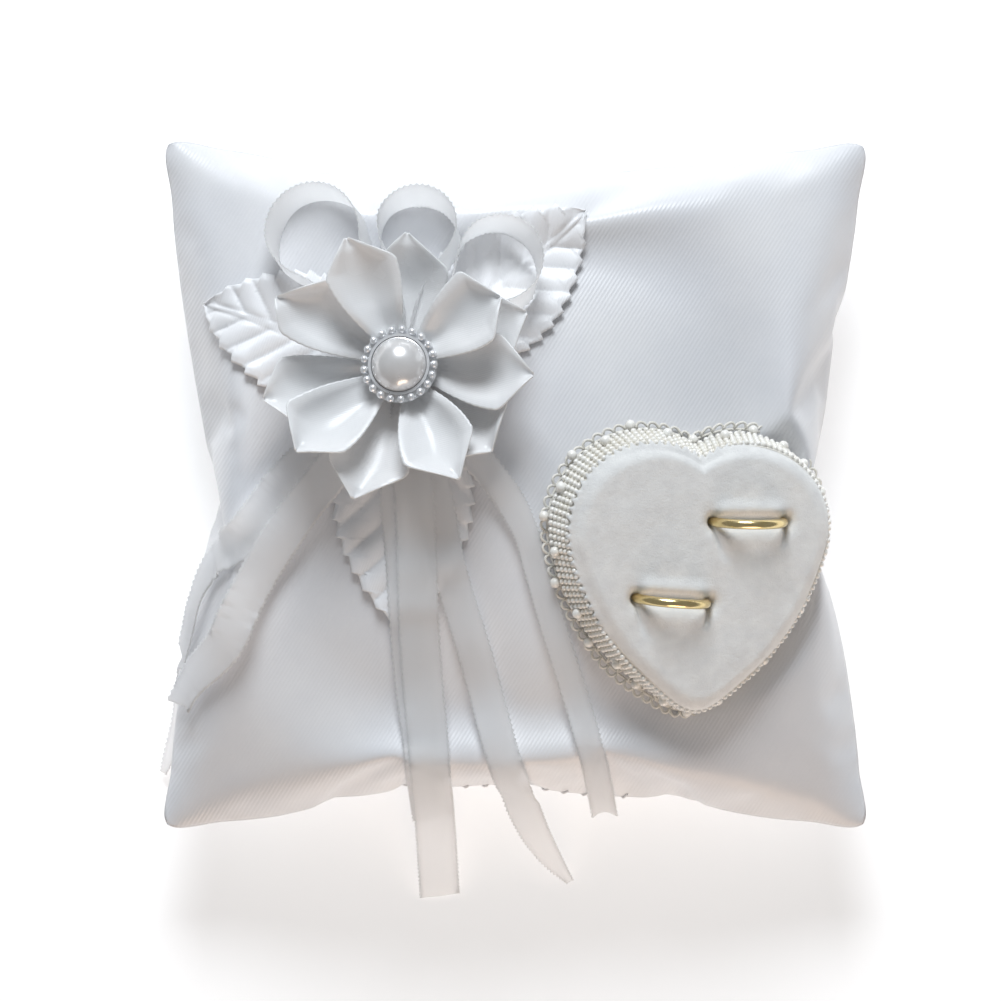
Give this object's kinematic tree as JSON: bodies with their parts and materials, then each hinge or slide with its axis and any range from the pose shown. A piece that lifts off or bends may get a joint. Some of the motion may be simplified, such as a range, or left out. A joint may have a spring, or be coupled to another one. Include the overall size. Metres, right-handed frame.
{
  "type": "ring bearer pillow",
  "caption": "Square white satin wedding ring pillow with ribbon flower, leaves and tails, and a pearl-trimmed heart pad that holds rings in slits.",
  "frame": {"origin": "centre of the flat resting patch on the back cover, at the middle of the cushion", "axes": "+Z points out of the decorated face, +Y towards the flower end, +X towards the heart-shaped ring holder"},
  "size_m": [0.1762, 0.1883, 0.0717],
  "materials": {
    "cushion_satin": "white polyester satin, soft sheen",
    "lace": "cream lace braid",
    "thread": "white polyester thread",
    "fibre_fill": "loose white polyester fibre",
    "backing_felt": "white felt",
    "glue": "clear-white hot-melt glue",
    "board": "white grey-board card",
    "heart_felt": "off-white brushed felt",
    "foam": "soft white polyurethane foam",
    "small_pearl": "cream imitation pearl",
    "leaf_satin": "stiffened white satin, embossed veins",
    "large_pearl": "pearlescent imitation pearl",
    "silver_setting": "silver-plated plastic",
    "petal_satin": "glossy white satin ribbon",
    "ribbon_satin": "thin white satin ribbon with picot edges, slightly sheer",
    "gold": "polished gold"
  },
  "bodies": {
    "pillow": {"back_cover": "cushion_satin", "braid_tape": "lace", "closing_stitches": "thread", "fibre_filling": "fibre_fill", "flower_backing": "backing_felt", "flower_core": "glue", "flower_glue": "glue", "front_cover": "cushion_satin", "heart_board": "board", "heart_felt": "heart_felt", "heart_foam": "foam", "heart_side_band": "cushion_satin", "lace_edging": "lace", "large_pearls": "small_pearl", "leaf_bottom": "leaf_satin", "leaf_left": "leaf_satin", "leaf_upper_right": "leaf_satin", "pearl_cabochon": "large_pearl", "pearl_setting": "silver_setting", "pearl_strand_1": "small_pearl", "pearl_strand_2": "small_pearl", "pearl_strand_3": "small_pearl", "pearl_strand_4": "small_pearl", "pearl_strand_5": "small_pearl", "petal_1_022": "petal_satin", "petal_1_085": "petal_satin", "petal_1_194": "petal_satin", "petal_1_253": "petal_satin", "petal_1_323": "petal_satin", "petal_2_142": "petal_satin", "petal_2_215": "petal_satin", "petal_2_297": "petal_satin", "petal_2_355": "petal_satin", "petal_3_040": "petal_satin", "petal_3_110": "petal_satin", "ribbon_binding": "ribbon_satin", "ribbon_loop_left": "ribbon_satin", "ribbon_loop_middle": "ribbon_satin", "ribbon_loop_right": "ribbon_satin", "seam_allowance": "cushion_satin", "setting_beads": "silver_setting", "tail_root_centre": "ribbon_satin", "tail_root_left": "ribbon_satin", "tail_root_right": "ribbon_satin"},
    "ring_upper": {"ring_upper": "gold"},
    "ring_lower": {"ring_lower": "gold"},
    "tails_left": {"tail_left_outer": "ribbon_satin", "tail_left_inner": "ribbon_satin"},
    "tails_centre": {"tail_centre_front": "ribbon_satin", "tail_centre_back": "ribbon_satin", "tail_centre_right": "ribbon_satin"},
    "tail_right": {"tail_right": "ribbon_satin"}
  },
  "joints": [
    {"name": "ring_upper_pull", "type": "slide", "parent": "pillow", "child": "ring_upper", "axis": [0.243, -0.084, 0.9664], "range_m": [0, 0.02]},
    {"name": "ring_lower_pull", "type": "slide", "parent": "pillow", "child": "ring_lower", "axis": [0.243, -0.084, 0.9664], "range_m": [0, 0.02]},
    {"name": "tails_left_lift", "type": "hinge", "parent": "pillow", "child": "tails_left", "pos_m": [-0.046, 0.003, 0.05249], "axis": [-0.7809, 0.6247, 0], "range_deg": [0, 60]},
    {"name": "tails_centre_lift", "type": "hinge", "parent": "pillow", "child": "tails_centre", "pos_m": [-0.025, -0.003, 0.05792], "axis": [-1, 0, 0], "range_deg": [0, 60]},
    {"name": "tail_right_lift", "type": "hinge", "parent": "pillow", "child": "tail_right", "pos_m": [-0.0056, 0.0022, 0.05811], "axis": [-0.8283, -0.5603, 0], "range_deg": [0, 60]}
  ]
}
